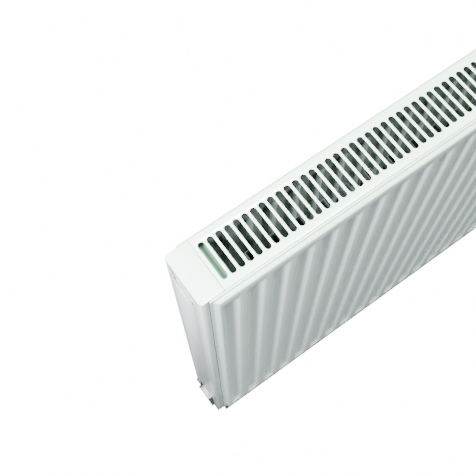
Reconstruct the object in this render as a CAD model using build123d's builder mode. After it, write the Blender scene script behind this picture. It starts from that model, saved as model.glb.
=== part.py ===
from build123d import *
from math import radians, tan
import os

# Double-panel, single-convector steel radiator with a built-in valve.
# Millimetres. X runs along the radiator with the valve end at -X, the room-side panel
# faces -Y, Z is up, and the origin is the centre of the footprint on the bottom plane.

# ---- driving dimensions ----
length = 600.0  # over both side covers
height = 600.0  # bottom of the panels to the top of the grille
sheet = 1.2  # pressed panel sheet
cover_sheet = 1.0  # side covers and grille
fin_sheet = 0.5

seam_spacing = 67.4  # between the two panels' seam planes
waterway = 5.1  # depth of a pressed channel, from the seam plane to the sheet's back
panel_end_gap = 11.0  # from a side cover's face to the panel's end
panel_top_gap = 4.0  # from the top of the grille down to the panels' top seam
seam_width = 4.0  # flat welded edge round each panel
field_corner = 8.0  # corner radius of the raised field
field_slant = 30.0  # slope of the field's edge, degrees
flute_slant = 46.0  # slope of a flute's sides, degrees

flute_pitch = 100.0 / 3.0
flute_floor = 11.0  # flat bottom of a flute
flute_margin = 29.0  # ends of the flute floors, from the panel's top and bottom edges
flute_clear_end = 2.5  # least flat between the last flute and the field's edge

slot_count_per_flute = 3
slot_length = 48.4
slot_width = 7.8
slot_end_margin = 7.0  # from the grille's end to the first slot's centre

cover_top = 30.0  # length of a side cover's top, along X
cover_return_gap = 0.9  # from a cover's folded-in edge to the panel's end
cover_corner = 4.5  # outer radius of a cover's vertical corners
cover_joint_gap = 0.6  # between a cover's top and the grille
cap_opening = 20.0  # radius of the hole for the valve cap and for the vent
cap_rim = 1.6  # wall of the rim round that hole
cap_rim_depth = 3.0
notch_width = 42.0  # open-bottomed notch for a bottom plug
notch_height = 50.0

port_inset = 27.0  # port centres, from the panel's ends
port_height = 27.0  # port centres, from the panel's top and bottom edges
tee_bore = 11.0  # radius of the waterway through a tee
tee_outer = 15.0
boss_r = 17.0  # side boss round the G1/2 thread
boss_reach = 17.0  # boss end, from the tee's axis
thread_r = 9.3  # G1/2 core radius in the boss
thread_clear = 0.05
thread_engaged = 7.0  # depth of a plug's thread in the boss
seal_sheet = 1.5

plug_proud = 6.0  # bottom plugs, past the side cover's face
plug_hex = 22.0  # across flats
plug_flange_r = 15.0
plug_flange = 3.0
plug_recess_r = 5.0
plug_recess = 8.0

valve_hex = 24.0  # across flats
valve_hex_thick = 4.0
valve_neck_r = 8.0  # M16 neck that carries the cap
valve_neck = 8.0
cap_inset = 1.0  # cap face, inside the cover's face
cap_radius = 17.5
cap_length = 13.5
cap_wall = 2.2
cap_hub = 2.2
cap_clear = 0.06  # radial, between the cap's hub and the neck
cap_grips = 24
spindle_r = 2.5
spindle_clear = 0.05
spindle_cap_gap = 0.3
spindle_travel = 2.5
disc_r = 7.0
disc_thick = 2.5
cage_r = 9.0
cage_wall = 1.2
window_r = 3.0
seat_r = 5.5
seat_thick = 1.5
seat_reach = -5.0  # seat's inner face, from the tee's axis

vent_hex = 22.0
vent_hex_thick = 5.0
vent_neck_r = 6.0
vent_neck = 4.5
bleed_r = 3.0
bleed_key = 5.0
bleed_clear = 0.05
nozzle_r = 10.5
nozzle_clear = 0.06
nozzle_spout_r = 2.2
nozzle_spout = 14.0  # spout end, from the vent's axis

fin_depth = 27.0
fin_loop = 9.0  # width of one hairpin loop
fin_margin = 34.0  # convector's top, from the panel's top edge
fin_pipe_gap = 4.0  # convector's bottom, above the riser's level run
fin_tee_gap = 10.0  # from a tee to the first loop's free space

nipple_spacing = 50.0
nipple_r = 13.2  # G3/4 external thread, major radius
nipple_bore = 8.0
nipple_bottom = 3.0  # nipple ends, above the bottom plane
nipple_shoulder = 15.5  # end of the thread, above the bottom plane
nipple_top = 19.0
nipple_collar_r = 11.0
nipple_offset = 62.0  # return nipple, from the valve end's tee axis
riser_r = 7.0
riser_bore = 5.6
riser_bend = 22.0
riser_run = 62.0  # level run of the riser, above the bottom plane
pipe_r = 9.0
pipe_bore = 7.0
weld_clear = 0.05  # radial, a tube in the hole it is welded into
weld_into = 1.5  # end of such a tube, from the tee's waterway

lug_width = 30.0
lug_height = 34.0
lug_sheet = 2.5
lug_proud = 8.0  # stand-off of a wall lug behind the rear panel
lug_inset = 116.0  # lug centres, from the panel's ends, at least
lug_drop = 80.0  # lug centres, from the panel's top and bottom edges
lug_hole_r = 4.5

clip_width = 12.0
clip_sheet = 1.0
clip_leg = 8.0
clip_gap = 0.5  # from a clip to the panel's welded edge

os.makedirs("parts", exist_ok=True)

# ---- sizes worked out from them ----
bulge = waterway + sheet  # seam plane to a channel's outer face
panel_length = length - 2 * panel_end_gap
panel_height = height - panel_top_gap
front_seam = -(seam_spacing + lug_proud) / 2
rear_seam = front_seam + seam_spacing
middle_y = (front_seam + rear_seam) / 2
inner_gap = seam_spacing - 2 * bulge
port_x = panel_length / 2 - port_inset
port_low = port_height
port_high = panel_height - port_height
cover_face = length / 2 - port_x  # side cover's face, from a port's centre
valve_end = -1
vent_end = 1

field_run = bulge * tan(radians(field_slant))  # slope of the field's edge, in plan
flute_run = waterway * tan(radians(flute_slant))  # slope of a flute's side, in plan
flute_room = panel_length / 2 - seam_width - field_run - flute_clear_end - flute_floor / 2 - flute_run
flute_count = 2 * int(flute_room / flute_pitch) + 1

grille_length = length - 2 * cover_top - 2 * cover_joint_gap
slot_pitch = flute_pitch / slot_count_per_flute
slot_half_count = int((grille_length / 2 - slot_end_margin) / slot_pitch + 0.5)
slot_count = 2 * slot_half_count

return_x = valve_end * port_x + nipple_offset
supply_x = return_x + nipple_spacing


def port_plane(end, level, reach=0.0):
    """Plane square to a port's axis, reach out from the port's centre."""
    origin = (end * (port_x + reach), middle_y, level)
    return Plane(origin=origin, x_dir=(0, end, 0), z_dir=(end, 0, 0))


def finish_piece(piece, label):
    """Label a finished piece and write its STEP."""
    piece.part.label = label
    export_step(piece.part, f"parts/{label}.step")


# ---- pressed panel sheets: a flat welded edge, a raised field and vertical flutes ----
def pressed_sheet(label, seam_y, side, has_ports):
    """One pressed sheet. side is -1 when its field bulges towards -Y, +1 towards +Y."""
    seam = Plane(origin=(0, seam_y, panel_height / 2), x_dir=(1, 0, 0), z_dir=(0, side, 0))
    field_x = panel_length - 2 * seam_width
    field_z = panel_height - 2 * seam_width
    flute_z = panel_height - 2 * flute_margin
    with BuildPart() as piece:
        with BuildSketch(seam):
            Rectangle(panel_length, panel_height)
        extrude(amount=sheet)
        with BuildSketch(seam):
            RectangleRounded(field_x, field_z, field_corner)
        extrude(amount=bulge, taper=field_slant)
        # the waterway behind the field
        with BuildSketch(seam):
            RectangleRounded(field_x - 2 * sheet, field_z - 2 * sheet, field_corner - sheet)
        extrude(amount=waterway, taper=field_slant, mode=Mode.SUBTRACT)
        # flutes, first as solid ribs across the waterway
        with BuildSketch(seam):
            with GridLocations(flute_pitch, 1, flute_count, 1):
                RectangleRounded(flute_floor + 2 * sheet, flute_z + 2 * sheet, sheet + 2.5)
        extrude(amount=bulge, taper=-flute_slant)
        # then hollowed from outside, leaving the sheet on the floor and on the slopes
        with BuildSketch(seam.offset(sheet)):
            with GridLocations(flute_pitch, 1, flute_count, 1):
                RectangleRounded(flute_floor, flute_z, 2.5)
        extrude(amount=waterway, taper=-flute_slant, mode=Mode.SUBTRACT)
        if has_ports:
            with BuildSketch(seam.offset(-sheet)):
                with GridLocations(2 * port_x, port_high - port_low, 2, 2):
                    Circle(tee_bore)
            extrude(amount=bulge + 2 * sheet, mode=Mode.SUBTRACT)
    finish_piece(piece, label)


pressed_sheet("front_outer_sheet", front_seam, -1, False)
pressed_sheet("front_inner_sheet", front_seam, 1, True)
pressed_sheet("rear_inner_sheet", rear_seam, -1, True)
pressed_sheet("rear_outer_sheet", rear_seam, 1, False)


# ---- tees: a cross tube between the panels with a side boss for the G1/2 thread ----
def tee(label, end, level, hole_r=0.0, hole_way=(1, 0, 0)):
    """One corner tee. hole_r is the radius of a hole for a pipe that leaves along hole_way."""
    with BuildPart() as piece:
        with BuildSketch(Plane(origin=(end * port_x, middle_y, level), z_dir=(0, 1, 0))):
            Circle(tee_outer)
        extrude(amount=inner_gap / 2, both=True)
        with BuildSketch(port_plane(end, level)):
            Circle(boss_r)
        extrude(amount=boss_reach)
        with BuildSketch(Plane(origin=(end * port_x, middle_y, level), z_dir=(0, 1, 0))):
            Circle(tee_bore)
        extrude(amount=inner_gap / 2, both=True, mode=Mode.SUBTRACT)
        with BuildSketch(port_plane(end, level)):
            Circle(thread_r)
        extrude(amount=boss_reach, mode=Mode.SUBTRACT)
        if hole_r:
            with BuildSketch(Plane(origin=(end * port_x, middle_y, level), z_dir=hole_way)):
                Circle(hole_r)
            extrude(amount=tee_outer + boss_r, mode=Mode.SUBTRACT)
        chamfer(piece.edges().filter_by(GeomType.CIRCLE).sort_by(Axis.X)[0 if end < 0 else -1], 0.6)
    finish_piece(piece, label)


tee("valve_tee", valve_end, port_high, riser_r + weld_clear, (0, 0, -1))
tee("return_tee", valve_end, port_low, pipe_r + weld_clear, (1, 0, 0))
tee("vent_tee", vent_end, port_high)
tee("drain_tee", vent_end, port_low)


# ---- convector: one folded sheet, hairpin loops standing off the front panel ----
fin_back = front_seam + bulge
fin_room = port_x - tee_outer - fin_tee_gap
fin_loops = 2 * int(fin_room / flute_pitch)
fin_half = (fin_loops - 1) / 2 * flute_pitch + fin_loop / 2
fin_bottom = riser_run + riser_r + fin_pipe_gap
with BuildPart() as convector:
    with BuildSketch(Plane.XY.offset(fin_bottom)):
        with Locations((0, fin_back + fin_sheet / 2)):
            Rectangle(2 * fin_half, fin_sheet)
        with Locations((0, fin_back + fin_depth / 2)):
            with GridLocations(flute_pitch, 1, fin_loops, 1):
                Rectangle(fin_loop, fin_depth)
        with Locations((0, fin_back + (fin_depth - fin_sheet) / 2)):
            with GridLocations(flute_pitch, 1, fin_loops, 1):
                Rectangle(fin_loop - 2 * fin_sheet, fin_depth - fin_sheet, mode=Mode.SUBTRACT)
    extrude(amount=panel_height - fin_margin - fin_bottom)
finish_piece(convector, "front_convector")


# ---- top grille: a slotted plate with folded edges that rest on the panels' seams ----
with BuildPart() as grille:
    with BuildSketch(Plane.XY.offset(panel_height)):
        with Locations((0, middle_y)):
            Rectangle(grille_length, seam_spacing)
    extrude(amount=panel_top_gap)
    fillet(grille.edges().filter_by(Axis.X).group_by(Axis.Z)[-1], cover_sheet)
    with BuildSketch(Plane.XY.offset(panel_height)):
        with Locations((0, middle_y)):
            Rectangle(grille_length, seam_spacing - 2 * cover_sheet)
    extrude(amount=panel_top_gap - cover_sheet, mode=Mode.SUBTRACT)
    with BuildSketch(Plane.XY.offset(height)):
        with Locations((0, middle_y)):
            with GridLocations(slot_pitch, 1, slot_count, 1):
                SlotOverall(slot_length, slot_width, rotation=90)
    extrude(amount=-2 * cover_sheet, mode=Mode.SUBTRACT)
finish_piece(grille, "top_grille")


# ---- side covers: top, side face and folded-in edges, with holes for cap and plug ----
def side_cover(label, end):
    """One side cover. end is -1 at the valve, +1 at the vent."""
    face = Plane(origin=(end * length / 2, middle_y, 0), x_dir=(0, end, 0), z_dir=(end, 0, 0))
    inner_end = length / 2 - cover_top
    fold_end = length / 2 - panel_end_gap + cover_return_gap
    with BuildPart() as piece:
        with BuildSketch(Plane.XY):
            with Locations((end * (length / 2 - cover_top / 2), middle_y)):
                Rectangle(cover_top, seam_spacing)
        extrude(amount=height)
        corners = piece.edges().filter_by(Axis.Z).group_by(Axis.X)[0 if end < 0 else -1]
        fillet(corners, cover_corner)
        top_edges = piece.faces().sort_by(Axis.Z)[-1].edges()
        inner_edge = top_edges.sort_by(Axis.X)[-1 if end < 0 else 0]
        fillet([edge for edge in top_edges if edge != inner_edge], cover_sheet * 1.2)
        with BuildSketch(Plane.XY):
            with Locations((end * (inner_end + (cover_top - cover_sheet) / 2), middle_y)):
                Rectangle(cover_top - cover_sheet, seam_spacing - 2 * cover_sheet)
        extrude(amount=height - cover_sheet, mode=Mode.SUBTRACT)
        # below the top, only the folded-in edges stay
        with BuildSketch(Plane.XY):
            with Locations((end * (inner_end + fold_end) / 2, middle_y)):
                Rectangle(fold_end - inner_end, seam_spacing)
        extrude(amount=panel_height, mode=Mode.SUBTRACT)
        # open-bottomed notch for the bottom plug
        with BuildSketch(face):
            with BuildLine():
                notch_side = notch_height - notch_width / 2
                Line((-notch_width / 2, -1), (notch_width / 2, -1))
                Line((notch_width / 2, -1), (notch_width / 2, notch_side))
                RadiusArc((notch_width / 2, notch_side), (-notch_width / 2, notch_side), -notch_width / 2)
                Line((-notch_width / 2, notch_side), (-notch_width / 2, -1))
            make_face()
        extrude(amount=-2 * cover_sheet, mode=Mode.SUBTRACT)
        # rimmed hole round the cap
        with BuildSketch(port_plane(end, port_high, cover_face)):
            Circle(cap_opening + cap_rim)
        extrude(amount=-cap_rim_depth)
        with BuildSketch(port_plane(end, port_high, cover_face)):
            Circle(cap_opening)
        extrude(amount=-cap_rim_depth, mode=Mode.SUBTRACT)
    finish_piece(piece, label)


side_cover("left_side_cover", valve_end)
side_cover("right_side_cover", vent_end)


# ---- clips: small legs under the tops, just inside the panels' welded edges ----
def clips(label, centres):
    """One node of clips. centres are the places of the clip pairs along X."""
    leg_y = seam_spacing / 2 - sheet - clip_gap - clip_sheet / 2
    with BuildPart() as piece:
        for x in centres:
            for side in (-1, 1):
                with BuildSketch(Plane.XY.offset(height - cover_sheet)):
                    with Locations((x, middle_y + side * leg_y)):
                        Rectangle(clip_width, clip_sheet)
                extrude(amount=-clip_leg)
                with BuildSketch(Plane.XY.offset(height - cover_sheet)):
                    with Locations((x, middle_y + side * (leg_y - clip_leg / 4))):
                        Rectangle(clip_width, clip_leg / 2)
                extrude(amount=-clip_sheet)
    finish_piece(piece, label)


clip_x = 4.5 * flute_pitch
clips("grille_clips", (-clip_x, clip_x))
cover_clip_x = length / 2 - cover_top + clip_width / 2 + 2
clips("left_cover_clips", (valve_end * cover_clip_x,))
clips("right_cover_clips", (vent_end * cover_clip_x,))


# ---- flat seal rings on the bosses ----
def seal_ring(label, end, level, outer_r):
    """One flat seal between a boss and what screws into it."""
    with BuildPart() as piece:
        with BuildSketch(port_plane(end, level, boss_reach)):
            Circle(outer_r)
            Circle(thread_r, mode=Mode.SUBTRACT)
        extrude(amount=seal_sheet)
    finish_piece(piece, label)


# ---- bottom plugs: hexagon heads that stand out of the covers' notches ----
def bottom_plug(label, end):
    """One blanking plug in a lower boss."""
    shoulder = boss_reach + seal_sheet
    with BuildPart() as piece:
        with BuildSketch(port_plane(end, port_low, boss_reach - thread_engaged)):
            Circle(thread_r - thread_clear)
        extrude(amount=thread_engaged + seal_sheet)
        with BuildSketch(port_plane(end, port_low, shoulder)):
            Circle(plug_flange_r)
        extrude(amount=plug_flange)
        with BuildSketch(port_plane(end, port_low, shoulder + plug_flange)):
            RegularPolygon(plug_hex / 2, 6, major_radius=False)
        extrude(amount=cover_face + plug_proud - shoulder - plug_flange)
        head = piece.faces().sort_by(Axis.X)[0 if end < 0 else -1]
        chamfer(head.edges(), 1.2)
        with BuildSketch(port_plane(end, port_low, cover_face + plug_proud)):
            Circle(plug_recess_r)
        extrude(amount=-plug_recess, mode=Mode.SUBTRACT)
    finish_piece(piece, label)


seal_ring("left_plug_seal", valve_end, port_low, plug_flange_r)
bottom_plug("left_bottom_plug", valve_end)
seal_ring("right_plug_seal", vent_end, port_low, plug_flange_r)
bottom_plug("right_bottom_plug", vent_end)


# ---- valve insert: cage with its seat, body, spindle with its disc, and cap ----
neck_start = boss_reach + seal_sheet + valve_hex_thick
neck_end = neck_start + valve_neck
cap_front = cover_face - cap_inset
cage_end = boss_reach - thread_engaged
disc_front = seat_reach + seat_thick + spindle_travel

with BuildPart() as cage:
    with BuildSketch(port_plane(valve_end, port_high, seat_reach)):
        Circle(cage_r)
        Circle(cage_r - cage_wall, mode=Mode.SUBTRACT)
    extrude(amount=cage_end - seat_reach)
    with BuildSketch(port_plane(valve_end, port_high, seat_reach)):
        Circle(cage_r - cage_wall)
        Circle(seat_r, mode=Mode.SUBTRACT)
    extrude(amount=seat_thick)
    # windows that let the water out to both panels
    window_x = valve_end * (port_x + (disc_front + disc_thick + cage_end) / 2)
    with BuildSketch(Plane(origin=(window_x, middle_y, port_high), z_dir=(0, 1, 0))):
        Circle(window_r)
    extrude(amount=2 * cage_r, both=True, mode=Mode.SUBTRACT)
finish_piece(cage, "valve_cage")

seal_ring("valve_seal", valve_end, port_high, valve_hex / 2)

with BuildPart() as valve_body:
    with BuildSketch(port_plane(valve_end, port_high, boss_reach - thread_engaged)):
        Circle(thread_r - thread_clear)
    extrude(amount=thread_engaged + seal_sheet)
    with BuildSketch(port_plane(valve_end, port_high, boss_reach + seal_sheet)):
        RegularPolygon(valve_hex / 2, 6, major_radius=False)
    extrude(amount=valve_hex_thick)
    with BuildSketch(port_plane(valve_end, port_high, neck_start)):
        Circle(valve_neck_r)
    extrude(amount=valve_neck)
    with BuildSketch(port_plane(valve_end, port_high, 0)):
        Circle(spindle_r + spindle_clear)
    extrude(amount=neck_end, mode=Mode.SUBTRACT)
finish_piece(valve_body, "valve_body")

with BuildPart() as disc:
    with BuildSketch(port_plane(valve_end, port_high, disc_front)):
        Circle(disc_r)
    extrude(amount=disc_thick)
    fillet(disc.edges(), 0.4)
finish_piece(disc, "valve_disc")

with BuildPart() as spindle:
    with BuildSketch(port_plane(valve_end, port_high, disc_front + disc_thick)):
        Circle(spindle_r)
    extrude(amount=cap_front - cap_wall - spindle_cap_gap - disc_front - disc_thick)
    fillet(spindle.edges().sort_by(Axis.X)[0], 0.8)
finish_piece(spindle, "valve_spindle")

with BuildPart() as cap:
    with BuildSketch(port_plane(valve_end, port_high, cap_front - cap_length)):
        Circle(cap_radius)
    extrude(amount=cap_length)
    fillet(cap.edges().sort_by(Axis.X)[0], 1.5)
    with BuildSketch(port_plane(valve_end, port_high, cap_front - cap_length)):
        Circle(cap_radius - cap_wall)
    extrude(amount=cap_length - cap_wall, mode=Mode.SUBTRACT)
    hub_start = neck_start + 1.5
    with BuildSketch(port_plane(valve_end, port_high, hub_start)):
        Circle(valve_neck_r + cap_clear + cap_hub)
        Circle(valve_neck_r + cap_clear, mode=Mode.SUBTRACT)
    extrude(amount=cap_front - cap_wall - hub_start)
    # a shallow ring on the face and grips round the rim
    with BuildSketch(port_plane(valve_end, port_high, cap_front)):
        Circle(cap_radius * 0.68)
        Circle(cap_radius * 0.62, mode=Mode.SUBTRACT)
    extrude(amount=-0.6, mode=Mode.SUBTRACT)
    with BuildSketch(port_plane(valve_end, port_high, cap_front - cap_length)):
        with PolarLocations(cap_radius + 0.35, cap_grips):
            Circle(1.0)
    extrude(amount=cap_length - 3, mode=Mode.SUBTRACT)
finish_piece(cap, "valve_cap")


# ---- vent: plug, bleed screw and swivelling nozzle in the upper boss of the other end ----
seal_ring("vent_seal", vent_end, port_high, vent_hex / 2)
vent_neck_start = boss_reach + seal_sheet + vent_hex_thick
vent_neck_end = vent_neck_start + vent_neck
spout_level = vent_neck_start + vent_neck / 2
with BuildPart() as vent_plug:
    with BuildSketch(port_plane(vent_end, port_high, boss_reach - thread_engaged)):
        Circle(thread_r - thread_clear)
    extrude(amount=thread_engaged + seal_sheet)
    with BuildSketch(port_plane(vent_end, port_high, boss_reach + seal_sheet)):
        RegularPolygon(vent_hex / 2, 6, major_radius=False)
    extrude(amount=vent_hex_thick)
    with BuildSketch(port_plane(vent_end, port_high, vent_neck_start)):
        Circle(vent_neck_r)
    extrude(amount=vent_neck)
    with BuildSketch(port_plane(vent_end, port_high, 0)):
        Circle(bleed_r + bleed_clear)
    extrude(amount=vent_neck_end, mode=Mode.SUBTRACT)
finish_piece(vent_plug, "vent_plug")

with BuildPart() as bleed_screw:
    with BuildSketch(port_plane(vent_end, port_high, boss_reach)):
        Circle(bleed_r)
    extrude(amount=vent_neck_end - boss_reach)
    with BuildSketch(port_plane(vent_end, port_high, vent_neck_end)):
        Rectangle(bleed_key, bleed_key)
    extrude(amount=cap_front - vent_neck_end - 1.5)
    chamfer(bleed_screw.faces().sort_by(Axis.X)[-1].edges(), 0.5)
finish_piece(bleed_screw, "bleed_screw")

with BuildPart() as nozzle:
    with BuildSketch(port_plane(vent_end, port_high, vent_neck_start + 0.3)):
        Circle(nozzle_r)
    extrude(amount=vent_neck - 0.6)
    with BuildSketch(Plane(origin=(vent_end * (port_x + spout_level), middle_y, port_high), z_dir=(0, 0, -1))):
        Circle(nozzle_spout_r)
    extrude(amount=nozzle_spout)
    with BuildSketch(port_plane(vent_end, port_high, vent_neck_start)):
        Circle(vent_neck_r + nozzle_clear)
    extrude(amount=vent_neck, mode=Mode.SUBTRACT)
    with BuildSketch(Plane(origin=(vent_end * (port_x + spout_level), middle_y, port_high), z_dir=(0, 0, -1))):
        Circle(nozzle_spout_r / 2)
    extrude(amount=nozzle_spout, mode=Mode.SUBTRACT)
finish_piece(nozzle, "vent_nozzle")


# ---- connections: supply riser to the valve, return pipe, and two G3/4 nipples ----
with BuildPart() as riser:
    with BuildLine() as riser_path:
        foot = (supply_x, middle_y, nipple_top)
        first_elbow = (supply_x, middle_y, riser_run)
        second_elbow = (valve_end * port_x, middle_y, riser_run)
        mouth = (valve_end * port_x, middle_y, port_high - tee_bore - weld_into)
        FilletPolyline(foot, first_elbow, second_elbow, mouth, radius=riser_bend)
    with BuildSketch(Plane.XY.offset(nipple_top)):
        with Locations((supply_x, middle_y)):
            Circle(riser_r)
            Circle(riser_bore, mode=Mode.SUBTRACT)
    sweep(path=riser_path.wires()[0])
finish_piece(riser, "supply_riser")

pipe_level = Plane(origin=(valve_end * (port_x - tee_bore - weld_into), middle_y, port_low), z_dir=(1, 0, 0))
pipe_length = return_x + pipe_r - pipe_level.origin.X
with BuildPart() as return_pipe:
    with BuildSketch(pipe_level):
        Circle(pipe_r)
    extrude(amount=pipe_length)
    with BuildSketch(pipe_level):
        Circle(pipe_bore)
    extrude(amount=pipe_length - 2, mode=Mode.SUBTRACT)
    with BuildSketch(Plane.XY.offset(nipple_bottom)):
        with Locations((return_x, middle_y)):
            Circle(nipple_bore - 2)
    extrude(amount=port_low - nipple_bottom, mode=Mode.SUBTRACT)
finish_piece(return_pipe, "return_pipe")


def nipple(label, x, bore_top, narrow_r, saddled):
    """One G3/4 nipple with a collar above its thread. narrow_r is the bore above bore_top."""
    with BuildPart() as piece:
        with BuildSketch(Plane.XY.offset(nipple_bottom)):
            with Locations((x, middle_y)):
                Circle(nipple_r)
        extrude(amount=nipple_shoulder - nipple_bottom)
        chamfer(piece.edges().sort_by(Axis.Z)[0], 1)
        with BuildSketch(Plane.XY.offset(nipple_shoulder)):
            with Locations((x, middle_y)):
                Circle(nipple_collar_r)
        extrude(amount=nipple_top - nipple_shoulder)
        with BuildSketch(Plane.XY.offset(nipple_bottom)):
            with Locations((x, middle_y)):
                Circle(narrow_r)
        extrude(amount=nipple_top - nipple_bottom, mode=Mode.SUBTRACT)
        with BuildSketch(Plane.XY.offset(nipple_bottom)):
            with Locations((x, middle_y)):
                Circle(nipple_bore)
        extrude(amount=bore_top - nipple_bottom, mode=Mode.SUBTRACT)
        if saddled:
            # a saddle for the return pipe
            with BuildSketch(pipe_level):
                Circle(pipe_r)
            extrude(amount=pipe_length + nipple_r, mode=Mode.SUBTRACT)
    finish_piece(piece, label)


nipple("supply_nipple", supply_x, nipple_shoulder, riser_bore, False)
nipple("return_nipple", return_x, nipple_top, nipple_bore, True)


# ---- wall lugs: drilled brackets on the ridges of the rear panel ----
lug_ridge = int((panel_length / 2 - lug_inset) / flute_pitch) + 0.5
lug_x = lug_ridge * flute_pitch


def wall_lugs(label, level):
    """A pair of hanging lugs at one height."""
    back = rear_seam + bulge
    with BuildPart() as piece:
        with BuildSketch(Plane(origin=(0, back, level), x_dir=(1, 0, 0), z_dir=(0, 1, 0))):
            with GridLocations(2 * lug_x, 1, 2, 1):
                Rectangle(lug_width, lug_height)
        extrude(amount=lug_proud)
        with BuildSketch(Plane(origin=(0, back, level), x_dir=(1, 0, 0), z_dir=(0, 1, 0))):
            with GridLocations(2 * lug_x, 1, 2, 1):
                Rectangle(lug_width - 2 * lug_sheet, lug_height)
        extrude(amount=lug_proud - lug_sheet, mode=Mode.SUBTRACT)
        with BuildSketch(Plane(origin=(0, back, level), x_dir=(1, 0, 0), z_dir=(0, 1, 0))):
            with GridLocations(2 * lug_x, 1, 2, 1):
                Circle(lug_hole_r)
        extrude(amount=lug_proud, mode=Mode.SUBTRACT)
    finish_piece(piece, label)


wall_lugs("upper_wall_lugs", panel_height - lug_drop)
wall_lugs("lower_wall_lugs", lug_drop)
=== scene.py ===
import bpy
from math import cos, pi, radians, sin, tan
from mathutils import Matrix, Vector


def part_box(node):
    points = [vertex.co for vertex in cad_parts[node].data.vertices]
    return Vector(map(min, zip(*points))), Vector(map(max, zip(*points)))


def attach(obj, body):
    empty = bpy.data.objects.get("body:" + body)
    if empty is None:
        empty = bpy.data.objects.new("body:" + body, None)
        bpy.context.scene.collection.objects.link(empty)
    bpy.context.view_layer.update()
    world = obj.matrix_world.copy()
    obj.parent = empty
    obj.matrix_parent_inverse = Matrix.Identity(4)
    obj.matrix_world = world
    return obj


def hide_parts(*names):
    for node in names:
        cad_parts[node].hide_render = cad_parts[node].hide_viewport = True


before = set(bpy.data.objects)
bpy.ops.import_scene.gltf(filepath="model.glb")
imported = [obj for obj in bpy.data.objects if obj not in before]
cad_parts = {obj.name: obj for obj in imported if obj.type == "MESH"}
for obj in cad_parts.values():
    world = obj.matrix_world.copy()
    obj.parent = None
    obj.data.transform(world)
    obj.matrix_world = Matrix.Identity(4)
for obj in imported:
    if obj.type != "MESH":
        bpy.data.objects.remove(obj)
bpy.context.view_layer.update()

# ---- Setting: floor, daylight and camera ----
# The radiator stands on a floor that glows white to the camera only, with dark patches for its shade.
# A greenish softbox hangs above it, a small one lights the valve end, and a faint one the front.
# The camera stands in front of the valve end and well above it, and looks down along the grille.
bpy.ops.object.select_all(action="DESELECT")
bpy.ops.mesh.primitive_plane_add(size=60.0, location=(0, 0, 0))
floor = bpy.context.object
floor.name = "floor"
floor_paint = bpy.data.materials.new("floor_white")
floor_paint.use_nodes = True
floor_nodes = floor_paint.node_tree.nodes
floor_links = floor_paint.node_tree.links
floor_nodes["Principled BSDF"].inputs["Base Color"].default_value = (0.09, 0.09, 0.10, 1)
floor_nodes["Principled BSDF"].inputs["Roughness"].default_value = 0.9
backdrop = floor_nodes.new("ShaderNodeEmission")
backdrop.inputs["Color"].default_value = (1.0, 1.0, 1.0, 1)
backdrop.inputs["Strength"].default_value = 16.0
seen_directly = floor_nodes.new("ShaderNodeLightPath")
camera_or_light = floor_nodes.new("ShaderNodeMixShader")
floor_links.new(seen_directly.outputs["Is Camera Ray"], camera_or_light.inputs[0])
floor_links.new(floor_nodes["Principled BSDF"].outputs["BSDF"], camera_or_light.inputs[1])
floor_links.new(backdrop.outputs["Emission"], camera_or_light.inputs[2])
floor_links.new(camera_or_light.outputs["Shader"], floor_nodes["Material Output"].inputs["Surface"])
floor.data.materials.append(floor_paint)

shade_height = 0.0003
shade_grey = bpy.data.materials.new("shade_grey")
shade_grey.use_nodes = True
shade_shader = shade_grey.node_tree.nodes["Principled BSDF"]
shade_shader.inputs["Base Color"].default_value = (0.03, 0.03, 0.035, 1)
shade_shader.inputs["Roughness"].default_value = 0.9
for shade_name, low_corner, high_corner in (
    ("shade_below_plug", (-0.3048, -0.0250), (-0.3010, 0.0170)),
    ("shade_below_left_cover", (-0.3010, -0.0375), (-0.2890, 0.0300)),
    ("shade_below_right_cover", (0.2890, -0.0375), (0.3000, 0.0300)),
    ("shade_below_panels", (-0.2890, -0.0440), (0.2890, 0.0360)),
):
    middle = ((low_corner[0] + high_corner[0]) / 2, (low_corner[1] + high_corner[1]) / 2, shade_height)
    bpy.ops.mesh.primitive_plane_add(size=1.0, location=middle)
    shade = bpy.context.object
    shade.name = shade_name
    shade.scale = (high_corner[0] - low_corner[0], high_corner[1] - low_corner[1], 1)
    bpy.ops.object.transform_apply(location=True, scale=True)
    shade.data.materials.append(shade_grey)

sky = bpy.data.worlds.new("pale_room")
bpy.context.scene.world = sky
sky.use_nodes = True
sky.node_tree.nodes["Background"].inputs["Color"].default_value = (0.80, 0.80, 1.0, 1)
sky.node_tree.nodes["Background"].inputs["Strength"].default_value = 0.20

for light_name, place, aim, size, power, tint in (
    ("overhead_softbox", (0.10, -0.10, 2.3), (0.1, 0, 0.5), 0.5, 180.0, (0.72, 1.0, 0.75)),
    ("end_softbox", (-0.85, -0.14, 1.25), (-0.30, 0, 0.4), 0.2, 44.0, (0.91, 0.96, 1.0)),
    ("front_softbox", (-0.75, -0.85, 0.20), (0.0, 0, 0.1), 0.3, 3.2, (0.96, 0.90, 1.0)),
):
    bpy.ops.object.light_add(type="AREA", location=place)
    softbox = bpy.context.object
    softbox.name = light_name
    softbox.data.size = size
    softbox.data.energy = power
    softbox.data.color = tint
    softbox.rotation_euler = (Vector(aim) - Vector(place)).to_track_quat("-Z", "Y").to_euler()

bpy.ops.object.camera_add(location=(-0.3977, -0.2490, 1.3408))
camera = bpy.context.object
camera.rotation_euler = (radians(22.26), radians(0.49), radians(-35.77))
camera.data.lens = 58.4
camera.data.sensor_width = 36.0
camera.data.clip_start = 0.01
bpy.context.scene.camera = camera


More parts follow.
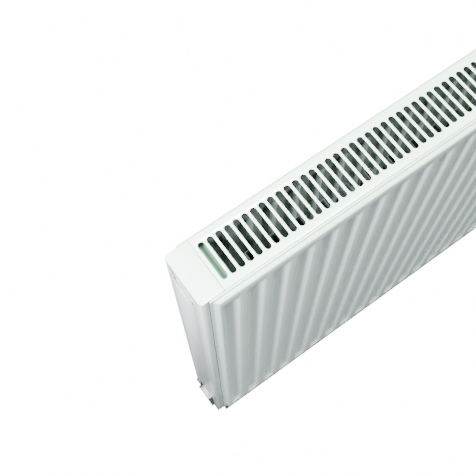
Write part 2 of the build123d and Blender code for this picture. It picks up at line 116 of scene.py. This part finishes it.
# ---- Panels: front and rear outer sheets ----
# Each is one steel sheet, pressed into a raised field with upright flutes that are pushed back to
# the seam plane, and welded round its flat edge to the sheet behind. It is painted with white enamel.
def enamel(name, colour, roughness, texture=0.02):
    """White stoved paint: a faint change of tone and gloss, and the fine skin of sprayed paint."""
    paint = bpy.data.materials.new(name)
    paint.use_nodes = True
    nodes = paint.node_tree.nodes
    links = paint.node_tree.links
    shader = nodes["Principled BSDF"]
    place = nodes.new("ShaderNodeTexCoord")
    tone = nodes.new("ShaderNodeTexNoise")
    tone.inputs["Scale"].default_value = 9.0
    tone.inputs["Detail"].default_value = 4.0
    tone_ramp = nodes.new("ShaderNodeValToRGB")
    tone_ramp.color_ramp.elements[0].position = 0.3
    tone_ramp.color_ramp.elements[0].color = tuple(c * 0.965 for c in colour) + (1,)
    tone_ramp.color_ramp.elements[1].position = 0.7
    tone_ramp.color_ramp.elements[1].color = colour + (1,)
    gloss = nodes.new("ShaderNodeTexNoise")
    gloss.inputs["Scale"].default_value = 35.0
    gloss.inputs["Detail"].default_value = 3.0
    gloss_range = nodes.new("ShaderNodeMapRange")
    gloss_range.inputs["To Min"].default_value = roughness * 0.85
    gloss_range.inputs["To Max"].default_value = roughness * 1.2
    skin = nodes.new("ShaderNodeTexNoise")
    skin.inputs["Scale"].default_value = 620.0
    skin.inputs["Detail"].default_value = 2.0
    bump = nodes.new("ShaderNodeBump")
    bump.inputs["Strength"].default_value = texture
    bump.inputs["Distance"].default_value = 0.001
    links.new(place.outputs["Object"], tone.inputs["Vector"])
    links.new(place.outputs["Object"], gloss.inputs["Vector"])
    links.new(place.outputs["Object"], skin.inputs["Vector"])
    links.new(tone.outputs["Fac"], tone_ramp.inputs["Fac"])
    links.new(tone_ramp.outputs["Color"], shader.inputs["Base Color"])
    links.new(gloss.outputs["Fac"], gloss_range.inputs["Value"])
    links.new(gloss_range.outputs["Result"], shader.inputs["Roughness"])
    links.new(skin.outputs["Fac"], bump.inputs["Height"])
    links.new(bump.outputs["Normal"], shader.inputs["Normal"])
    shader.inputs["Coat Weight"].default_value = 0.35
    shader.inputs["Coat Roughness"].default_value = 0.08
    return paint


panel_enamel = enamel("panel_enamel", (0.78, 0.835, 0.81), 0.22, 0.03)
front_low, front_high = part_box("front_outer_sheet")
rear_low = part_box("rear_outer_sheet")[0]
sheet = 0.0012
waterway = front_high.y - front_low.y - sheet
seam_edge = 0.004
flute_pitch = 0.1 / 3
flute_floor = 0.011
flute_margin = 0.029
field_run = (waterway + sheet) * tan(radians(30))
flute_run = waterway * tan(radians(46))
flute_foot = 0.012  # how far up the panel a flute takes to reach its floor
fold_round = 0.0006
flutes_each_side = 8


def share(value):
    """A value held between 0 and 1."""
    return max(0.0, min(1.0, value))


def select_where(piece, chosen):
    """Select the vertices whose place passes a test, in edit mode."""
    bpy.ops.object.mode_set(mode="EDIT")
    bpy.ops.mesh.select_mode(type="VERT")
    bpy.ops.mesh.select_all(action="DESELECT")
    bpy.ops.object.mode_set(mode="OBJECT")
    for vertex in piece.data.vertices:
        vertex.select = chosen(vertex.co)
    bpy.ops.object.mode_set(mode="EDIT")


def add_modifier(piece, kind, **settings):
    """Add one modifier, set it and apply it."""
    modifier = piece.modifiers.new(kind.lower(), kind)
    for setting, value in settings.items():
        setattr(modifier, setting, value)
    bpy.context.view_layer.objects.active = piece
    bpy.ops.object.modifier_apply(modifier=modifier.name)


def press_panel(node, seam_y, outward):
    """One outer sheet. outward is -1 on the room side and +1 on the wall side."""
    low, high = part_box(node)
    field = (low.x + seam_edge, high.x - seam_edge, low.z + seam_edge, high.z - seam_edge)
    middle_z = (low.z + high.z) / 2
    flute_half = (high.z - low.z) / 2 - flute_margin

    def pressed_height(x, z):
        edge = min(x - field[0], field[1] - x, z - field[2], field[3] - z) / field_run
        nearest = round(x / flute_pitch)
        nearest = max(-flutes_each_side, min(flutes_each_side, nearest)) * flute_pitch
        across = (abs(x - nearest) - flute_floor / 2) / flute_run
        along = (abs(z - middle_z) - flute_half) / (flute_run if z > middle_z else flute_foot)
        return min(share(edge), max(share(across), share(along)))

    x_folds = [field[0], field[0] + field_run, field[1] - field_run, field[1]]
    for flute in range(-flutes_each_side, flutes_each_side + 1):
        for side in (-1, 1):
            x_folds.append(flute * flute_pitch + side * flute_floor / 2)
            x_folds.append(flute * flute_pitch + side * (flute_floor / 2 + flute_run))
    z_folds = [field[2], field[2] + field_run, field[3] - field_run, field[3]]
    z_folds += [middle_z - flute_half - flute_foot, middle_z - flute_half]
    z_folds += [middle_z + flute_half, middle_z + flute_half + flute_run]

    bpy.ops.object.select_all(action="DESELECT")
    centre = ((low.x + high.x) / 2, seam_y + outward * sheet, middle_z)
    bpy.ops.mesh.primitive_plane_add(size=1.0, location=centre, rotation=(pi / 2, 0, 0))
    panel = bpy.context.object
    panel.name = node + "_pressed"
    panel.scale = (high.x - low.x, high.z - low.z, 1)
    bpy.ops.object.transform_apply(location=True, rotation=True, scale=True)
    bpy.ops.object.mode_set(mode="EDIT")
    for fold in x_folds:
        for side in (-fold_round, fold_round):
            bpy.ops.mesh.select_all(action="SELECT")
            bpy.ops.mesh.bisect(plane_co=(fold + side, seam_y, 0), plane_no=(1, 0, 0))
    for fold in z_folds:
        for side in (-fold_round, fold_round):
            bpy.ops.mesh.select_all(action="SELECT")
            bpy.ops.mesh.bisect(plane_co=(0, seam_y, fold + side), plane_no=(0, 0, 1))
    bpy.ops.object.mode_set(mode="OBJECT")
    levels = {round(pressed_height(v.co.x, v.co.z), 4) for v in panel.data.vertices}
    for level in sorted(levels - {0.0}):
        select_where(panel, lambda co: round(pressed_height(co.x, co.z), 4) == level)
        bpy.ops.transform.translate(value=(0, outward * waterway * level, 0))
        bpy.ops.object.mode_set(mode="OBJECT")
    bpy.ops.object.mode_set(mode="EDIT")
    bpy.ops.mesh.select_all(action="SELECT")
    bpy.ops.mesh.normals_make_consistent(inside=False)
    bpy.ops.object.mode_set(mode="OBJECT")
    if panel.data.polygons[0].normal.y * outward < 0:
        panel.data.flip_normals()
    add_modifier(panel, "SUBSURF", levels=1, render_levels=1)
    add_modifier(panel, "SOLIDIFY", thickness=sheet, offset=-1.0)
    bpy.ops.object.shade_smooth_by_angle(angle=radians(60))
    panel.data.materials.append(panel_enamel)
    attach(panel, "radiator")
    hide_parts(node)


press_panel("front_outer_sheet", front_high.y, -1)
press_panel("rear_outer_sheet", rear_low.y, 1)

# ---- Inner sheets and convector ----
# The sheets that close each panel's waterways, and the folded fin sheet spot-welded behind the front panel.
# Their dull dark paint is painted shade for the gap between the panels seen through the slots: darkest on
# the front inner sheet and convector, lighter on the rear inner sheet where some light reaches.
inner_shade_enamel = enamel("inner_shade_enamel", (0.22, 0.27, 0.25), 0.42, 0.05)
convector_painted_shade = enamel("convector_painted_shade", (0.045, 0.05, 0.052), 0.5, 0.05)
for node, paint in (
    ("rear_inner_sheet", inner_shade_enamel),
    ("front_inner_sheet", convector_painted_shade),
    ("front_convector", convector_painted_shade),
):
    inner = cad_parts[node]
    inner.data.materials.clear()
    inner.data.materials.append(paint)

# ---- Top grille ----
# A sheet with folded edges that rests on the two seams.
# Its slots are punched through, three to each flute, with their rims a little rounded.
grille_low, grille_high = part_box("top_grille")
grille_sheet = 0.001
grille_fold = 0.0014
slot_rim = 0.0003
slot_length = 0.0484
slot_width = 0.0078
slot_pitch = flute_pitch / 3
slot_count = 48
grille_middle = (grille_low.y + grille_high.y) / 2
bpy.ops.object.select_all(action="DESELECT")
bpy.ops.mesh.primitive_cube_add(size=1.0, location=(grille_low + grille_high) / 2)
grille = bpy.context.object
grille.name = "punched_grille"
grille.scale = grille_high - grille_low
bpy.ops.object.transform_apply(location=True, rotation=True, scale=True)
select_where(grille, lambda co: co.z < grille_low.z + 1e-5)
bpy.ops.mesh.delete(type="ONLY_FACE")
bpy.ops.mesh.select_mode(type="EDGE")
bpy.ops.mesh.select_all(action="DESELECT")
bpy.ops.object.mode_set(mode="OBJECT")
for edge in grille.data.edges:
    ends = [grille.data.vertices[i].co for i in edge.vertices]
    on_top = all(end.z > grille_high.z - 1e-5 for end in ends)
    edge.select = on_top and abs(ends[0].y - ends[1].y) < 1e-5
bpy.ops.object.mode_set(mode="EDIT")
bpy.ops.mesh.bevel(offset=grille_fold, segments=4)
bpy.ops.object.mode_set(mode="OBJECT")
add_modifier(grille, "SOLIDIFY", thickness=grille_sheet, offset=-1.0, use_even_offset=True)
bpy.ops.object.select_all(action="DESELECT")
first_slot = (-(slot_count - 1) / 2 * slot_pitch, grille_middle, grille_high.z)
bpy.ops.mesh.primitive_cylinder_add(
    vertices=24, radius=slot_width / 2, depth=4 * grille_sheet, location=first_slot, rotation=(0, 0, pi / 24)
)
punch = bpy.context.object
bpy.ops.object.transform_apply(location=True, rotation=True, scale=True)
for side in (-1, 1):
    select_where(punch, lambda co: (co.y - grille_middle) * side > 0)
    bpy.ops.transform.translate(value=(0, side * (slot_length - slot_width) / 2, 0))
    bpy.ops.object.mode_set(mode="OBJECT")
add_modifier(
    punch, "ARRAY", count=slot_count, use_relative_offset=False,
    use_constant_offset=True, constant_offset_displace=(slot_pitch, 0, 0),
)
add_modifier(grille, "BOOLEAN", object=punch, operation="DIFFERENCE", solver="EXACT")
bpy.data.objects.remove(punch)
add_modifier(grille, "BEVEL", width=slot_rim, segments=2, limit_method="ANGLE", angle_limit=radians(50))
bpy.context.view_layer.objects.active = grille
grille.select_set(True)
bpy.ops.object.shade_smooth_by_angle(angle=radians(40))
cover_enamel = enamel("cover_enamel", (0.835, 0.865, 0.835), 0.20, 0.02)
grille.data.materials.append(cover_enamel)
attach(grille, "grille")
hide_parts("top_grille")

# ---- Side covers ----
# A folded sheet over each end: a short top in line with the grille, a flat side with rounded
# corners and narrow folded-in edges, a rimmed hole for the cap or vent, and a notch for the plug.
cover_sheet = 0.001
cover_corner = 0.0045
cover_top_fold = 0.0016
cover_gap = 0.0009  # from the folded-in edges to the panels' ends
cap_hole = 0.020
rim_radius = 0.0011
notch_width = 0.042
notch_height = 0.050
port_high = (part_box("valve_cap")[0].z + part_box("valve_cap")[1].z) / 2
panel_top = front_high.z
panel_end = front_high.x


def cut_away(piece, low, high):
    """Cut a box out of a piece."""
    bpy.ops.object.select_all(action="DESELECT")
    bpy.ops.mesh.primitive_cube_add(size=1.0, location=(Vector(low) + Vector(high)) / 2)
    block = bpy.context.object
    block.scale = Vector(high) - Vector(low)
    bpy.ops.object.transform_apply(location=True, rotation=True, scale=True)
    add_modifier(piece, "BOOLEAN", object=block, operation="DIFFERENCE", solver="EXACT")
    bpy.data.objects.remove(block)


def drill(piece, centre, radius, depth):
    """Cut a round hole along X out of a piece."""
    bpy.ops.object.select_all(action="DESELECT")
    bpy.ops.mesh.primitive_cylinder_add(
        vertices=72, radius=radius, depth=depth, location=centre, rotation=(0, pi / 2, 0)
    )
    bit = bpy.context.object
    bpy.ops.object.transform_apply(location=True, rotation=True, scale=True)
    add_modifier(piece, "BOOLEAN", object=bit, operation="DIFFERENCE", solver="EXACT")
    bpy.data.objects.remove(bit)


def fold_cover(node, end, body):
    """One side cover. end is -1 at the valve and +1 at the vent."""
    low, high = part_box(node)
    face = low.x if end < 0 else high.x
    inner = high.x if end < 0 else low.x
    middle_y = (low.y + high.y) / 2
    bpy.ops.object.select_all(action="DESELECT")
    bpy.ops.mesh.primitive_cube_add(size=1.0, location=(low + high) / 2)
    cover = bpy.context.object
    cover.name = node + "_folded"
    cover.scale = high - low
    bpy.ops.object.transform_apply(location=True, rotation=True, scale=True)
    for level, radius in (("side", cover_corner), ("top", cover_top_fold)):
        bpy.ops.object.mode_set(mode="EDIT")
        bpy.ops.mesh.select_mode(type="EDGE")
        bpy.ops.mesh.select_all(action="DESELECT")
        bpy.ops.object.mode_set(mode="OBJECT")
        for edge in cover.data.edges:
            ends = [cover.data.vertices[i].co for i in edge.vertices]
            upright = abs(ends[0].z - ends[1].z) > 0.1
            outside = all(abs(point.x - face) < 1e-5 for point in ends)
            on_top = all(point.z > high.z - 1e-5 for point in ends)
            inside = all(abs(point.x - inner) < 1e-5 for point in ends)
            edge.select = (upright and outside) if level == "side" else (on_top and not inside)
        bpy.ops.object.mode_set(mode="EDIT")
        bpy.ops.mesh.bevel(offset=radius, segments=5)
        bpy.ops.object.mode_set(mode="OBJECT")
    # the bottom and the inner end are open
    bpy.ops.object.mode_set(mode="EDIT")
    bpy.ops.mesh.select_mode(type="FACE")
    bpy.ops.mesh.select_all(action="DESELECT")
    bpy.ops.object.mode_set(mode="OBJECT")
    for polygon in cover.data.polygons:
        polygon.select = polygon.normal.z < -0.9 or polygon.normal.x * end < -0.9
    bpy.ops.object.mode_set(mode="EDIT")
    bpy.ops.mesh.delete(type="FACE")
    bpy.ops.object.mode_set(mode="OBJECT")
    add_modifier(cover, "SOLIDIFY", thickness=cover_sheet, offset=-1.0, use_even_offset=True)
    fold_end = end * (panel_end + cover_gap)
    past = inner - end * 0.01
    cut_low = (min(fold_end, past), low.y - 0.01, low.z - 0.01)
    cut_high = (max(fold_end, past), high.y + 0.01, panel_top)
    cut_away(cover, cut_low, cut_high)
    drill(cover, (face, middle_y, port_high), cap_hole, 0.006)
    drill(cover, (face, middle_y, notch_height - notch_width / 2), notch_width / 2, 0.006)
    cut_low = (face - 0.003, middle_y - notch_width / 2, low.z - 0.01)
    cut_high = (face + 0.003, middle_y + notch_width / 2, notch_height - notch_width / 2)
    cut_away(cover, cut_low, cut_high)
    add_modifier(cover, "BEVEL", width=0.0003, segments=2, limit_method="ANGLE", angle_limit=radians(50))
    # the rim: the sheet's edge, rolled slightly out and drawn in round the hole
    bpy.ops.object.select_all(action="DESELECT")
    bpy.ops.mesh.primitive_torus_add(
        major_radius=cap_hole + 0.0002, minor_radius=rim_radius, major_segments=96, minor_segments=16,
        location=(face - end * 0.0006, middle_y, port_high), rotation=(0, pi / 2, 0),
    )
    bpy.ops.object.transform_apply(location=True, rotation=True, scale=True)
    cover.select_set(True)
    bpy.context.view_layer.objects.active = cover
    bpy.ops.object.join()
    bpy.ops.object.shade_smooth_by_angle(angle=radians(40))
    cover.data.materials.clear()
    cover.data.materials.append(cover_enamel)
    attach(cover, body)
    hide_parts(node)


fold_cover("left_side_cover", -1, "left_cover")
fold_cover("right_side_cover", 1, "right_cover")

# ---- Valve cap ----
# A moulded white plastic cap that screws over the valve's neck. Its rim has fine grips, and its
# face a raised lip, a sunk ring and a slightly crowned middle with a plain pointer.
def moulded_plastic(name, colour, roughness):
    """Moulded plastic: even colour, a soft sheen and a very fine spark-eroded skin."""
    plastic = bpy.data.materials.new(name)
    plastic.use_nodes = True
    nodes = plastic.node_tree.nodes
    links = plastic.node_tree.links
    shader = nodes["Principled BSDF"]
    place = nodes.new("ShaderNodeTexCoord")
    cloud = nodes.new("ShaderNodeTexNoise")
    cloud.inputs["Scale"].default_value = 60.0
    cloud_ramp = nodes.new("ShaderNodeValToRGB")
    cloud_ramp.color_ramp.elements[0].color = tuple(c * 0.95 for c in colour) + (1,)
    cloud_ramp.color_ramp.elements[1].color = colour + (1,)
    grain = nodes.new("ShaderNodeTexNoise")
    grain.inputs["Scale"].default_value = 2600.0
    bump = nodes.new("ShaderNodeBump")
    bump.inputs["Strength"].default_value = 0.08
    bump.inputs["Distance"].default_value = 0.0003
    links.new(place.outputs["Object"], cloud.inputs["Vector"])
    links.new(place.outputs["Object"], grain.inputs["Vector"])
    links.new(cloud.outputs["Fac"], cloud_ramp.inputs["Fac"])
    links.new(cloud_ramp.outputs["Color"], shader.inputs["Base Color"])
    links.new(grain.outputs["Fac"], bump.inputs["Height"])
    links.new(bump.outputs["Normal"], shader.inputs["Normal"])
    shader.inputs["Roughness"].default_value = roughness
    shader.inputs["IOR"].default_value = 1.49
    return plastic


def turn_piece(name, centre_y, centre_z, rings, sides=96):
    """A piece turned about an axis along X, from rings of (x, radius), closed at both ends."""
    bpy.ops.object.select_all(action="DESELECT")
    first_x, radius = rings[0]
    bpy.ops.mesh.primitive_circle_add(
        vertices=sides, radius=radius, location=(first_x, centre_y, centre_z), rotation=(0, pi / 2, 0)
    )
    piece = bpy.context.object
    piece.name = name
    bpy.ops.object.transform_apply(location=True, rotation=True, scale=True)
    bpy.ops.object.mode_set(mode="EDIT")
    bpy.ops.mesh.select_all(action="SELECT")
    x = first_x
    for next_x, next_radius in rings[1:]:
        bpy.ops.mesh.extrude_edges_move(TRANSFORM_OT_translate={"value": (next_x - x, 0, 0)})
        grow = next_radius / radius
        bpy.ops.transform.resize(value=(1, grow, grow), center_override=(next_x, centre_y, centre_z))
        x, radius = next_x, next_radius
    bpy.ops.mesh.edge_face_add()
    bpy.ops.mesh.select_all(action="DESELECT")
    bpy.ops.mesh.select_mode(type="EDGE")
    bpy.ops.mesh.select_non_manifold()
    bpy.ops.mesh.edge_face_add()
    bpy.ops.mesh.select_all(action="SELECT")
    bpy.ops.mesh.normals_make_consistent(inside=False)
    bpy.ops.object.mode_set(mode="OBJECT")
    return piece


def join_pieces(piece, *others):
    """Join other objects into a piece."""
    bpy.ops.object.select_all(action="DESELECT")
    for other in others:
        other.select_set(True)
    piece.select_set(True)
    bpy.context.view_layer.objects.active = piece
    bpy.ops.object.join()


def finish_piece(piece, paint, slot, body, *nodes):
    """Smooth a piece, paint it and put it on its body in place of its nodes."""
    bpy.ops.object.select_all(action="DESELECT")
    piece.select_set(True)
    bpy.context.view_layer.objects.active = piece
    bpy.ops.object.shade_smooth_by_angle(angle=radians(35))
    piece.data.materials.clear()
    piece.data.materials.append(paint)
    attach(piece, body)
    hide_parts(*nodes)


cap_low, cap_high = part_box("valve_cap")
cap_radius = (cap_high.y - cap_low.y) / 2
cap_y = (cap_low.y + cap_high.y) / 2
cap_front = cap_low.x
cap_back = cap_high.x
cap_wall = 0.0022
cap_edge = 0.0016
cap_bevel = 0.0004
grip_step = pi / 48
cap_rings = [
    (cap_front + cap_wall, cap_radius - cap_wall - cap_bevel),
    (cap_front + cap_wall + cap_bevel, cap_radius - cap_wall),
    (cap_back, cap_radius - cap_wall),
    (cap_back, cap_radius - 0.0003),
    (cap_back - 0.0003, cap_radius),
]
for step in range(7):
    turn = radians(15 * step)
    cap_rings.append((cap_front + cap_edge * (1 - sin(turn)), cap_radius - cap_edge * (1 - cos(turn))))
# the face, as depths behind the front and radii, from the lip over the sunk ring to the middle
for depth, radius in (
    (0.0, 0.0147), (0.0002, 0.0144), (0.0008, 0.0142), (0.0010, 0.0139), (0.0010, 0.0123), (0.0008, 0.0120),
    (0.0004, 0.0118), (0.0002, 0.0112), (0.0001, 0.0085), (0.0, 0.004), (0.0, 0.0005),
):
    cap_rings.append((cap_front + depth, radius))
cap = turn_piece("moulded_cap", cap_y, port_high, cap_rings, 96)


def in_grip_hollow(point):
    """Whether a point is on the cap's rim, in one of the hollows between its grips."""
    across = point.yz - Vector((cap_y, port_high))
    if not cap_front + cap_edge - 1e-5 < point.x < cap_back or across.length < cap_radius - 0.0005:
        return False
    return round((Vector((1, 0)).angle_signed(across) + 2 * pi) / grip_step) % 4 < 2


select_where(cap, in_grip_hollow)
bpy.ops.transform.resize(value=(1, 0.975, 0.975), center_override=(cap_front, cap_y, port_high))
bpy.ops.object.mode_set(mode="OBJECT")
pointer_centre = (cap_front + 0.0001, cap_y, port_high + 0.0052)
bpy.ops.mesh.primitive_cylinder_add(
    vertices=3, radius=0.0042, depth=0.0008, location=pointer_centre, rotation=(0, -pi / 2, 0)
)
pointer = bpy.context.object
bpy.ops.object.transform_apply(location=True, rotation=True, scale=True)
add_modifier(pointer, "BEVEL", width=0.00025, segments=2)
join_pieces(cap, pointer)
cap_white = moulded_plastic("cap_white", (0.82, 0.84, 0.81), 0.3)
finish_piece(cap, cap_white, "cap_plastic", "valve_cap", "valve_cap")

# ---- Bottom plugs ----
# A painted blanking plug in each lower tee: a round flange against its seal, and a hexagon head
# with chamfered corners and a shallow dimple that stands out of the cover's notch.
plug_enamel = enamel("plug_enamel", (0.86, 0.875, 0.87), 0.22, 0.02)
plug_flats = 0.022
plug_stem = 0.0085
plug_stem_radius = 0.00925
plug_flange = 0.003
plug_dimple = 0.005


def make_plug(node, end):
    """One bottom plug. end is -1 at the valve and +1 at the vent."""
    low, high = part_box(node)
    centre_y = (low.y + high.y) / 2
    centre_z = (low.z + high.z) / 2
    front = low.x if end < 0 else high.x
    back = high.x if end < 0 else low.x
    flange_back = back + end * plug_stem
    flange_front = flange_back + end * plug_flange
    flange_radius = (high.y - low.y) / 2
    corner = plug_flats / 2 / cos(pi / 6)
    plug = turn_piece(node + "_turned", centre_y, centre_z, [
        (back, plug_stem_radius - 0.001),
        (back + end * 0.001, plug_stem_radius),
        (flange_back, plug_stem_radius),
        (flange_back, flange_radius - 0.0004),
        (flange_back + end * 0.0004, flange_radius),
        (flange_front - end * 0.0006, flange_radius),
        (flange_front, flange_radius - 0.0008),
        (flange_front, 0.002),
    ])
    head = turn_piece("head", centre_y, centre_z, [
        (flange_front - end * 0.0002, corner),
        (front - end * 0.0016, corner),
        (front - end * 0.0003, corner - 0.0016),
        (front, corner - 0.0022),
        (front, plug_dimple + 0.0006),
        (front - end * 0.0005, plug_dimple + 0.0002),
        (front - end * 0.004, plug_dimple),
        (front - end * 0.0048, plug_dimple - 0.0008),
        (front - end * 0.005, 0.001),
    ], 6)
    add_modifier(head, "BEVEL", width=0.0005, segments=3, limit_method="ANGLE", angle_limit=radians(25))
    join_pieces(plug, head)
    finish_piece(plug, plug_enamel, "plug_paint", "radiator", node)


make_plug("left_bottom_plug", -1)
make_plug("right_bottom_plug", 1)

# ---- Connections: nipples with their threads ----
# Two steel nipples, welded on and painted, each with a collar and a thread for a union nut.
# The thread is drawn as rings.
thread_pitch = 0.001814
thread_depth = 0.0011
thread_length = 0.0125
collar_radius = 0.011
supply_bore = 0.0056
return_bore = 0.008


def make_nipple(node, bore):
    """One threaded nipple, turned about Z from rings of (height, radius) and moved to its place."""
    low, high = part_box(node)
    radius = (high.x - low.x) / 2
    length = high.z - low.z
    rings = [(length, bore), (0.0, bore), (0.0, radius - thread_depth - 0.0004)]
    for turn in range(int((thread_length - 0.001) / thread_pitch)):
        start = 0.0006 + turn * thread_pitch
        rings.append((start, radius - thread_depth))
        rings.append((start + thread_pitch * 0.45, radius))
        rings.append((start + thread_pitch * 0.55, radius))
    rings += [
        (thread_length, radius - thread_depth),
        (thread_length, collar_radius),
        (length, collar_radius),
    ]
    bpy.ops.object.select_all(action="DESELECT")
    bpy.ops.mesh.primitive_circle_add(vertices=64, radius=rings[0][1], location=(0, 0, rings[0][0]))
    nipple = bpy.context.object
    nipple.name = node + "_cut"
    bpy.ops.object.transform_apply(location=True, rotation=True, scale=True)
    bpy.ops.object.mode_set(mode="EDIT")
    bpy.ops.mesh.select_all(action="SELECT")
    level, radius_now = rings[0]
    for next_level, next_radius in rings[1:] + [rings[0]]:
        bpy.ops.mesh.extrude_edges_move(TRANSFORM_OT_translate={"value": (0, 0, next_level - level)})
        grow = next_radius / radius_now
        bpy.ops.transform.resize(value=(grow, grow, 1), center_override=(0, 0, next_level))
        level, radius_now = next_level, next_radius
    bpy.ops.mesh.select_all(action="SELECT")
    bpy.ops.mesh.remove_doubles(threshold=1e-6)
    bpy.ops.mesh.normals_make_consistent(inside=False)
    bpy.ops.transform.translate(value=((low.x + high.x) / 2, (low.y + high.y) / 2, low.z))
    bpy.ops.object.mode_set(mode="OBJECT")
    finish_piece(nipple, panel_enamel, "panel_paint", "radiator", node)


make_nipple("supply_nipple", supply_bore)
make_nipple("return_nipple", return_bore)


# ---- Tees, pipes and lugs ----
# Welded steel parts between and behind the panels, painted with them.
# The tees and pipes have a dark grey-green paint: painted shade for the shadow under the grille that shows
# through the first slot.
def smooth_copy(node, paint, slot, body):
    """A merged and smooth-shaded copy of a CAD node whose shape is right."""
    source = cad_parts[node]
    copy = bpy.data.objects.new(node + "_finished", source.data.copy())
    bpy.context.scene.collection.objects.link(copy)
    bpy.ops.object.select_all(action="DESELECT")
    copy.select_set(True)
    bpy.context.view_layer.objects.active = copy
    bpy.ops.object.mode_set(mode="EDIT")
    bpy.ops.mesh.select_all(action="SELECT")
    bpy.ops.mesh.remove_doubles(threshold=1e-6)
    bpy.ops.mesh.dissolve_limited(angle_limit=radians(0.5))
    bpy.ops.object.mode_set(mode="OBJECT")
    finish_piece(copy, paint, slot, body, node)


# painted shade: dark grey-green paint on the tees and pipes for the shadow they lie in under the grille
pipe_shade_enamel = enamel("pipe_shade_enamel", (0.13, 0.21, 0.165), 0.35, 0.04)
for node in ("valve_tee", "return_tee", "vent_tee", "drain_tee", "supply_riser", "return_pipe"):
    smooth_copy(node, pipe_shade_enamel, "panel_paint", "radiator")
for node in ("upper_wall_lugs", "lower_wall_lugs"):
    smooth_copy(node, panel_enamel, "panel_paint", "radiator")


# ---- Brass, rubber and steel fittings ----
# The valve insert, vent plug and bleed screw are turned brass. The flat seals and the valve disc are
# black rubber, and the spindle and clips are steel.
def turned_metal(name, colour, roughness):
    """Turned metal: fine rings of the cutting tool and a little dulling."""
    metal = bpy.data.materials.new(name)
    metal.use_nodes = True
    nodes = metal.node_tree.nodes
    links = metal.node_tree.links
    shader = nodes["Principled BSDF"]
    place = nodes.new("ShaderNodeTexCoord")
    rings = nodes.new("ShaderNodeTexWave")
    rings.bands_direction = "X"
    rings.inputs["Scale"].default_value = 900.0
    rings.inputs["Distortion"].default_value = 0.6
    dull = nodes.new("ShaderNodeTexNoise")
    dull.inputs["Scale"].default_value = 120.0
    dull_range = nodes.new("ShaderNodeMapRange")
    dull_range.inputs["To Min"].default_value = roughness * 0.7
    dull_range.inputs["To Max"].default_value = roughness * 1.4
    tone_ramp = nodes.new("ShaderNodeValToRGB")
    tone_ramp.color_ramp.elements[0].color = tuple(c * 0.8 for c in colour) + (1,)
    tone_ramp.color_ramp.elements[1].color = colour + (1,)
    bump = nodes.new("ShaderNodeBump")
    bump.inputs["Strength"].default_value = 0.15
    bump.inputs["Distance"].default_value = 0.0002
    links.new(place.outputs["Object"], rings.inputs["Vector"])
    links.new(place.outputs["Object"], dull.inputs["Vector"])
    links.new(dull.outputs["Fac"], dull_range.inputs["Value"])
    links.new(dull.outputs["Fac"], tone_ramp.inputs["Fac"])
    links.new(tone_ramp.outputs["Color"], shader.inputs["Base Color"])
    links.new(dull_range.outputs["Result"], shader.inputs["Roughness"])
    links.new(rings.outputs["Fac"], bump.inputs["Height"])
    links.new(bump.outputs["Normal"], shader.inputs["Normal"])
    shader.inputs["Metallic"].default_value = 1.0
    return metal


brass = turned_metal("turned_brass", (0.80, 0.61, 0.31), 0.3)
steel = turned_metal("spring_steel", (0.60, 0.61, 0.62), 0.32)
rubber = moulded_plastic("black_rubber", (0.03, 0.03, 0.032), 0.7)
nozzle_white = moulded_plastic("nozzle_white", (0.80, 0.80, 0.77), 0.4)
for node, paint, slot, body in (
    ("valve_cage", brass, "brass", "radiator"),
    ("valve_body", brass, "brass", "radiator"),
    ("vent_plug", brass, "brass", "radiator"),
    ("bleed_screw", brass, "brass", "bleed_screw"),
    ("valve_spindle", steel, "steel", "valve_stem"),
    ("valve_disc", rubber, "rubber", "valve_stem"),
    ("valve_seal", rubber, "rubber", "radiator"),
    ("vent_seal", rubber, "rubber", "radiator"),
    ("left_plug_seal", rubber, "rubber", "radiator"),
    ("right_plug_seal", rubber, "rubber", "radiator"),
    ("vent_nozzle", nozzle_white, "nozzle_plastic", "vent_nozzle"),
    ("grille_clips", steel, "steel", "grille"),
    ("left_cover_clips", steel, "steel", "left_cover"),
    ("right_cover_clips", steel, "steel", "right_cover"),
):
    smooth_copy(node, paint, slot, body)
